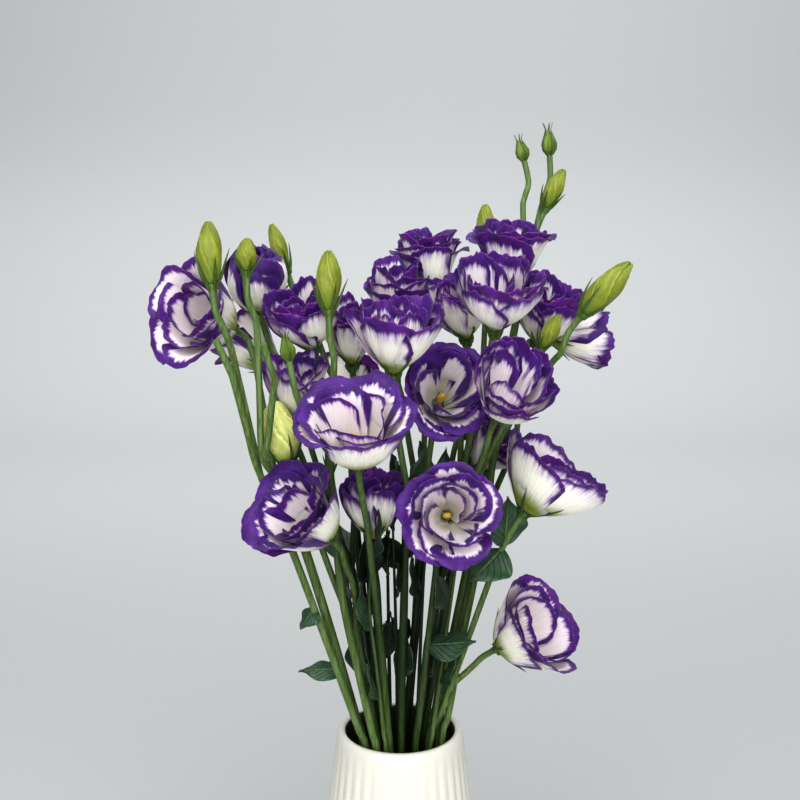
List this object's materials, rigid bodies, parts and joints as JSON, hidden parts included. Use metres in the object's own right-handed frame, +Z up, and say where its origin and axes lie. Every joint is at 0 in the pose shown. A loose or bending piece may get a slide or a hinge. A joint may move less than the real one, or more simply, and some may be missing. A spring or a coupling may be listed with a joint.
{
  "type": "vase of lisianthus",
  "caption": "Cut lisianthus sprays with open white blooms edged in purple, pointed green buds and a few leaves, standing in a ribbed white ceramic vase of water.",
  "frame": {"origin": "middle of the vase's foot, on the surface that it stands on", "axes": "+Z up along the vase, -Y towards the viewer, +X to the viewer's right"},
  "size_m": [0.2646, 0.2063, 0.5601],
  "materials": {
    "vase": "semi-gloss white glaze",
    "water": "clear water",
    "stem": "smooth, slightly waxy green",
    "bud": "smooth yellow-green",
    "petal": "soft matte petal, white with a purple margin"
  },
  "bodies": {
    "root": {"vase": "vase", "water": "water", "spray_left": "stem", "spray_left_mid": "stem", "spray_left_tall": "stem", "spray_mid_tall": "stem", "spray_mid_front": "stem", "spray_white": "stem", "spray_back_mid": "stem", "spray_top_mid": "stem", "spray_top_right": "stem", "spray_twin": "stem", "spray_right_bud": "stem", "spray_right_far": "stem", "spray_throat": "stem", "spray_rosette": "stem", "spray_front_pair": "stem", "spray_low_left": "stem", "spray_low_front": "stem", "spray_right_low": "stem", "spray_back_left": "stem", "spray_tall_buds": "stem", "bud_left_tall": "bud", "bud_left_small": "bud", "bud_left_behind": "bud", "bud_mid_tall": "bud", "bud_low_left": "bud", "bud_top_pale": "bud", "bud_far_right": "bud", "bud_right_small": "bud", "bud_top_leaning": "bud", "bloom_far_left": "petal", "bloom_left_dome": "petal", "bloom_left_cup": "petal", "bloom_mid_cup": "petal", "bloom_white_cup": "petal", "bloom_back_mid": "petal", "bloom_top_mid": "petal", "bloom_top_right": "petal", "bloom_twin_left": "petal", "bloom_twin_right": "petal", "bloom_right_cup": "petal", "bloom_far_right": "petal", "bloom_deep_throat": "petal", "bloom_right_rosette": "petal", "bloom_front_large": "petal", "bloom_low_left": "petal", "bloom_low_front": "petal", "bloom_inner_left": "petal", "bloom_behind_stems": "petal", "bloom_right_goblet": "petal", "bloom_low_right": "petal", "bloom_inner_right": "petal", "bloom_back_left": "petal", "bloom_rear_left": "petal", "bloom_rear_right": "petal"}
  },
  "joints": []
}
